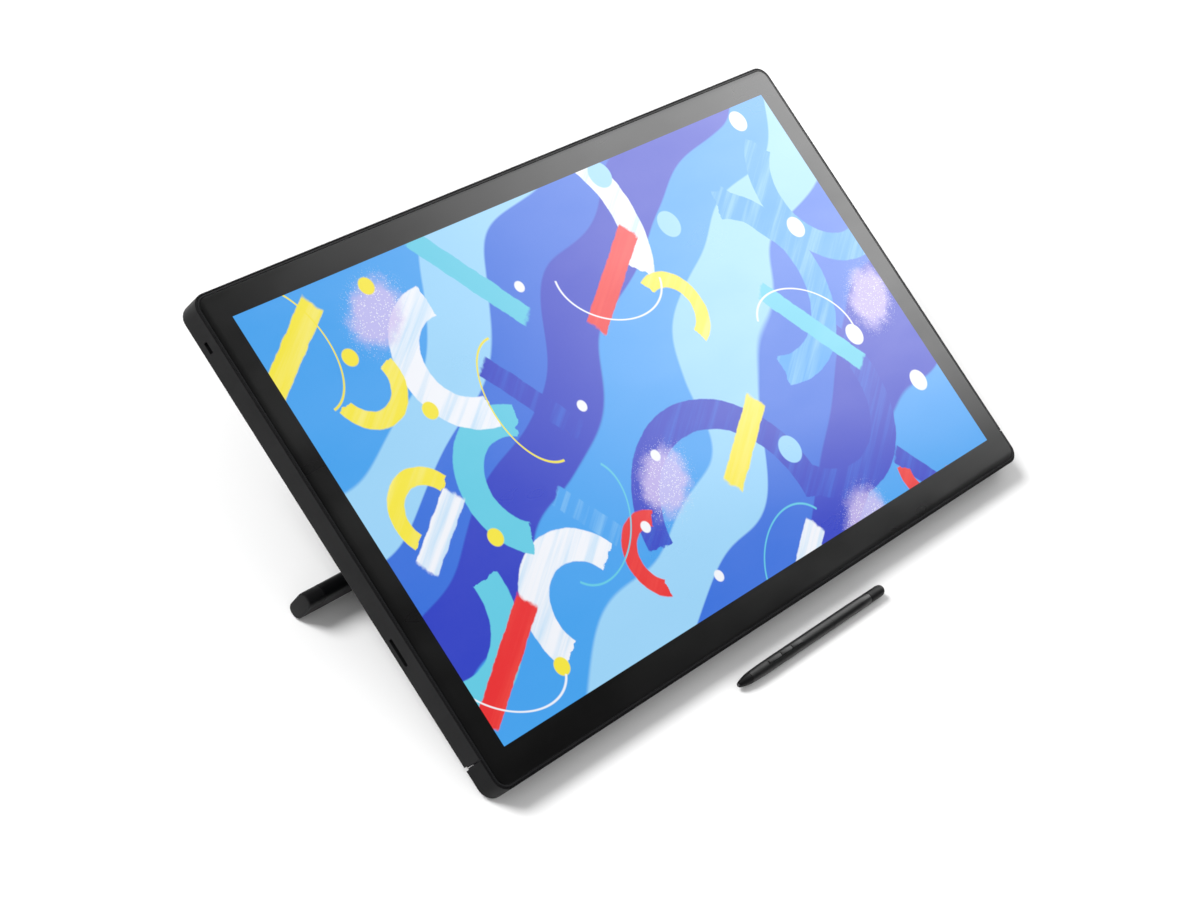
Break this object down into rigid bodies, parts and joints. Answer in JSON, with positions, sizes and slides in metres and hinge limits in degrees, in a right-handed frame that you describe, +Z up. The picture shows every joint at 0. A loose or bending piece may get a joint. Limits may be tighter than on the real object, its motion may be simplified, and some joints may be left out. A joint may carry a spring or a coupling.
{
  "type": "pen drawing tablet",
  "caption": "Flat pen display with a black glass front, leaning back on a folding bar stand, with a loose pen lying in front of it.",
  "frame": {"origin": "centre of the front foot's contact face on the desk", "axes": "+X to the right along the display's long side, +Y to the back, +Z up; the display leans back 20 degrees"},
  "size_m": [0.572, 0.3486, 0.1324],
  "materials": {
    "aluminium": "plain sheet",
    "black_body": "fine matt black",
    "black_glass": "etched glass over a black printed border",
    "brass": "turned brass",
    "button_black": "satin black",
    "clear_sheet": "clear acrylic",
    "dark_bar": "satin black paint",
    "dark_plastic": "dark moulding",
    "green_board": "green circuit board",
    "grey_cap": "matt dark grey",
    "grey_lip": "matt grey lip",
    "nib_grey": "grey nib",
    "panel": "liquid crystal cell",
    "pen_grip": "soft black grip",
    "pen_plastic": "soft black",
    "rubber": "matt rubber",
    "steel": "plain steel"
  },
  "bodies": {
    "tablet": {"cover_glass": "black_glass", "mid_frame": "grey_lip", "lcd_panel": "panel", "light_guide": "clear_sheet", "panel_tray": "aluminium", "digitizer_board": "green_board", "shield_plate": "steel", "chassis_plate": "aluminium", "rear_cover": "black_body", "lower_trim": "black_body", "joint_strip": "dark_plastic", "lower_stiffener": "steel", "front_foot": "rubber", "bay_cover": "black_body", "bay_screw_1": "steel", "bay_screw_2": "steel", "bay_screw_3": "steel", "bay_screw_4": "steel", "vesa_insert_1": "brass", "vesa_insert_2": "brass", "vesa_insert_3": "brass", "vesa_insert_4": "brass", "main_board": "green_board", "processor": "dark_plastic", "heat_spreader": "aluminium", "io_board": "green_board", "driver_board": "green_board", "hdmi_port": "steel", "usb_port_lower": "steel", "usb_port_upper": "steel", "power_board": "green_board", "power_switch": "steel", "lock_plate": "steel", "pen_socket_left": "dark_plastic", "pen_socket_right": "dark_plastic", "hinge_bracket_left": "steel", "hinge_bracket_right": "steel", "hinge_pin_left": "steel", "hinge_pin_right": "steel"},
    "power_button": {"power_button": "button_black"},
    "stand": {"stand_bar": "dark_bar", "stand_end_cap_left": "grey_cap", "stand_end_cap_right": "grey_cap", "stand_arm_left": "dark_bar", "stand_arm_right": "dark_bar", "stand_pad_left": "rubber", "stand_pad_right": "rubber"},
    "pen": {"pen_barrel": "pen_plastic", "pen_cone": "pen_grip", "pen_core": "green_board"},
    "nib": {"pen_nib": "nib_grey"},
    "tail_cap": {"pen_tail_cap": "pen_grip"},
    "side_button_1": {"pen_button_1": "pen_grip"},
    "side_button_2": {"pen_button_2": "pen_grip"},
    "side_button_3": {"pen_button_3": "pen_grip"}
  },
  "joints": [
    {"name": "stand_hinge", "type": "hinge", "parent": "tablet", "child": "stand", "pos_m": [0, 0.15039, 0.04975], "axis": [1, 0, 0], "range_deg": [-84, 0]},
    {"name": "power_press", "type": "slide", "parent": "tablet", "child": "power_button", "axis": [0, -0.9397, -0.342], "range_m": [0, 0.0005], "stiffness_N_per_m": 800, "springref_m": -0.001},
    {"name": "pen_lift", "type": "slide", "parent": "tablet", "child": "pen", "axis": [0, 0, 1], "range_m": [0, 0.12]},
    {"name": "nib_press", "type": "slide", "parent": "pen", "child": "nib", "axis": [1, 0, 0], "range_m": [0, 0.0005], "stiffness_N_per_m": 600, "springref_m": -0.001},
    {"name": "cap_pull", "type": "slide", "parent": "pen", "child": "tail_cap", "axis": [1, 0, 0], "range_m": [0, 0.03]},
    {"name": "side_button_1", "type": "slide", "parent": "pen", "child": "side_button_1", "axis": [0, 0, -1], "range_m": [0, 0.0003], "stiffness_N_per_m": 600, "springref_m": -0.001},
    {"name": "side_button_2", "type": "slide", "parent": "pen", "child": "side_button_2", "axis": [0, 0, -1], "range_m": [0, 0.0003], "stiffness_N_per_m": 600, "springref_m": -0.001},
    {"name": "side_button_3", "type": "slide", "parent": "pen", "child": "side_button_3", "axis": [0, 0, -1], "range_m": [0, 0.0003], "stiffness_N_per_m": 600, "springref_m": -0.001}
  ]
}
